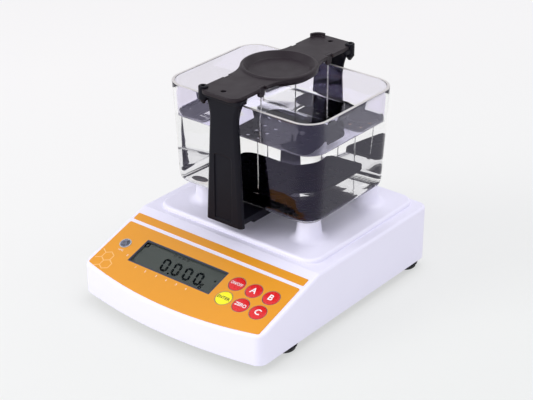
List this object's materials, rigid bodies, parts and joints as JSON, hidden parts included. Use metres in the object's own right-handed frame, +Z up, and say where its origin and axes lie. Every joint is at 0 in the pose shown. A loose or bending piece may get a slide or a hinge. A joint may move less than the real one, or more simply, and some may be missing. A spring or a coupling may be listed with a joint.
{
  "type": "benchtop density meter",
  "caption": "White benchtop instrument with a sloped key panel, a clear water tank on columns and a black weighing frame that closes over the tank with a lift-off dish beam.",
  "frame": {"origin": "on the table, under the middle of the instrument's outer box", "axes": "+Z up, +X to the operator's right, -Y towards the operator"},
  "size_m": [0.18, 0.2266, 0.1822],
  "materials": {
    "shell_white": "moulded ABS, fine matt texture",
    "base_grey": "moulded ABS",
    "overlay_orange": "printed polyester film",
    "window_clear": "clear polycarbonate",
    "lcd_grey": "liquid crystal cell",
    "backlight_white": "light guide",
    "carrier_black": "moulded plastic",
    "board_green": "solder mask",
    "key_red": "domed key film",
    "key_yellow": "domed key film",
    "level_metal": "turned metal cup",
    "level_clear": "liquid-filled vial",
    "cell_aluminium": "milled and anodised",
    "steel": "stainless and zinc-plated steel",
    "frame_black": "moulded ABS, fine matt texture",
    "tank_clear": "clear polished polycarbonate",
    "cable_grey": "PVC sheath",
    "insert_brass": "turned brass",
    "foot_rubber": "rubber",
    "foot_black": "moulded knurled wheel"
  },
  "bodies": {
    "root": {"upper_housing": "shell_white", "lower_housing": "base_grey", "tank_stand": "shell_white", "panel_overlay": "overlay_orange", "title_strip": "overlay_orange", "lcd_window": "window_clear", "lcd_cell": "lcd_grey", "lcd_backlight": "backlight_white", "lcd_frame": "carrier_black", "display_board": "board_green", "display_board_screws": "steel", "key_switches": "carrier_black", "level_cup": "level_metal", "level_vial": "level_clear", "load_cell": "cell_aluminium", "load_cell_foot": "cell_aluminium", "load_cell_fixed_screws": "steel", "overload_stop": "steel", "main_board": "board_green", "main_board_screws": "steel", "power_inlet": "carrier_black", "data_port": "steel", "adc_shield": "steel", "processor_chip": "carrier_black", "ribbon_cable": "cable_grey", "load_cell_lead": "cable_grey", "case_screws": "steel", "tray_screws": "steel", "foot_inserts": "insert_brass"},
    "weigh_frame": {"free_end_spacer": "cell_aluminium", "load_bracket": "cell_aluminium", "load_cell_free_screws": "steel", "weighing_stem": "steel", "stem_screws": "steel", "cross_bar": "frame_black", "front_leg": "frame_black", "rear_leg": "frame_black", "frame_screws": "steel"},
    "hanger": {"top_beam": "frame_black", "wire_clips": "frame_black", "hanger_wire_front_left": "steel", "hanger_wire_rear_left": "steel", "hanger_wire_front_right": "steel", "hanger_wire_rear_right": "steel", "water_pan": "frame_black"},
    "tank": {"water_tank": "tank_clear"},
    "key_on_off_cap": {"key_on_off": "key_red"},
    "key_a_cap": {"key_a": "key_red"},
    "key_b_cap": {"key_b": "key_red"},
    "key_enter_cap": {"key_enter": "key_yellow"},
    "key_zero_cap": {"key_zero": "key_red"},
    "key_c_cap": {"key_c": "key_red"},
    "foot_front_left": {"foot_pad_front_left": "foot_rubber"},
    "wheel_front_left": {"foot_wheel_front_left": "foot_black"},
    "foot_front_right": {"foot_pad_front_right": "foot_rubber"},
    "wheel_front_right": {"foot_wheel_front_right": "foot_black"},
    "foot_rear_left": {"foot_pad_rear_left": "foot_rubber"},
    "wheel_rear_left": {"foot_wheel_rear_left": "foot_black"},
    "foot_rear_right": {"foot_pad_rear_right": "foot_rubber"},
    "wheel_rear_right": {"foot_wheel_rear_right": "foot_black"}
  },
  "joints": [
    {"name": "weighing_travel", "type": "slide", "parent": "root", "child": "weigh_frame", "axis": [0, 0, -1], "range_m": [0, 0.0004], "stiffness_N_per_m": 50000, "deforming": ["load_cell"]},
    {"name": "beam_lift_off", "type": "slide", "parent": "weigh_frame", "child": "hanger", "axis": [0, 0, 1], "range_m": [0, 0.25]},
    {"name": "tank_lift_out", "type": "slide", "parent": "root", "child": "tank", "axis": [0, 0, 1], "range_m": [0, 0.1]},
    {"name": "key_on_off_press", "type": "slide", "parent": "root", "child": "key_on_off_cap", "axis": [0, 0.3024, -0.9532], "range_m": [0, 0.0005], "stiffness_N_per_m": 3000},
    {"name": "key_a_press", "type": "slide", "parent": "root", "child": "key_a_cap", "axis": [0, 0.3024, -0.9532], "range_m": [0, 0.0005], "stiffness_N_per_m": 3000},
    {"name": "key_b_press", "type": "slide", "parent": "root", "child": "key_b_cap", "axis": [0, 0.3024, -0.9532], "range_m": [0, 0.0005], "stiffness_N_per_m": 3000},
    {"name": "key_enter_press", "type": "slide", "parent": "root", "child": "key_enter_cap", "axis": [0, 0.3024, -0.9532], "range_m": [0, 0.0005], "stiffness_N_per_m": 3000},
    {"name": "key_zero_press", "type": "slide", "parent": "root", "child": "key_zero_cap", "axis": [0, 0.3024, -0.9532], "range_m": [0, 0.0005], "stiffness_N_per_m": 3000},
    {"name": "key_c_press", "type": "slide", "parent": "root", "child": "key_c_cap", "axis": [0, 0.3024, -0.9532], "range_m": [0, 0.0005], "stiffness_N_per_m": 3000},
    {"name": "foot_drop_front_left", "type": "slide", "parent": "root", "child": "foot_front_left", "axis": [0, 0, -1], "range_m": [0, 0.005]},
    {"name": "foot_turn_front_left", "type": "hinge", "parent": "foot_front_left", "child": "wheel_front_left", "pos_m": [-0.078, -0.0615, 0.0055], "axis": [0, 0, 1], "range_deg": [0, 1800]},
    {"name": "foot_drop_front_right", "type": "slide", "parent": "root", "child": "foot_front_right", "axis": [0, 0, -1], "range_m": [0, 0.005]},
    {"name": "foot_turn_front_right", "type": "hinge", "parent": "foot_front_right", "child": "wheel_front_right", "pos_m": [0.078, -0.0615, 0.0055], "axis": [0, 0, 1], "range_deg": [0, 1800]},
    {"name": "foot_drop_rear_left", "type": "slide", "parent": "root", "child": "foot_rear_left", "axis": [0, 0, -1], "range_m": [0, 0.005]},
    {"name": "foot_turn_rear_left", "type": "hinge", "parent": "foot_rear_left", "child": "wheel_rear_left", "pos_m": [-0.078, 0.1, 0.0055], "axis": [0, 0, 1], "range_deg": [0, 1800]},
    {"name": "foot_drop_rear_right", "type": "slide", "parent": "root", "child": "foot_rear_right", "axis": [0, 0, -1], "range_m": [0, 0.005]},
    {"name": "foot_turn_rear_right", "type": "hinge", "parent": "foot_rear_right", "child": "wheel_rear_right", "pos_m": [0.078, 0.1, 0.0055], "axis": [0, 0, 1], "range_deg": [0, 1800]}
  ],
  "couplings": [
    {"joint": "tank_lift_out", "follows": "beam_lift_off", "ratio": 0.4},
    {"joint": "foot_drop_front_left", "follows": "foot_turn_front_left", "m_per_rad": 0.00015915},
    {"joint": "foot_drop_front_right", "follows": "foot_turn_front_right", "m_per_rad": 0.00015915},
    {"joint": "foot_drop_rear_left", "follows": "foot_turn_rear_left", "m_per_rad": 0.00015915},
    {"joint": "foot_drop_rear_right", "follows": "foot_turn_rear_right", "m_per_rad": 0.00015915}
  ]
}
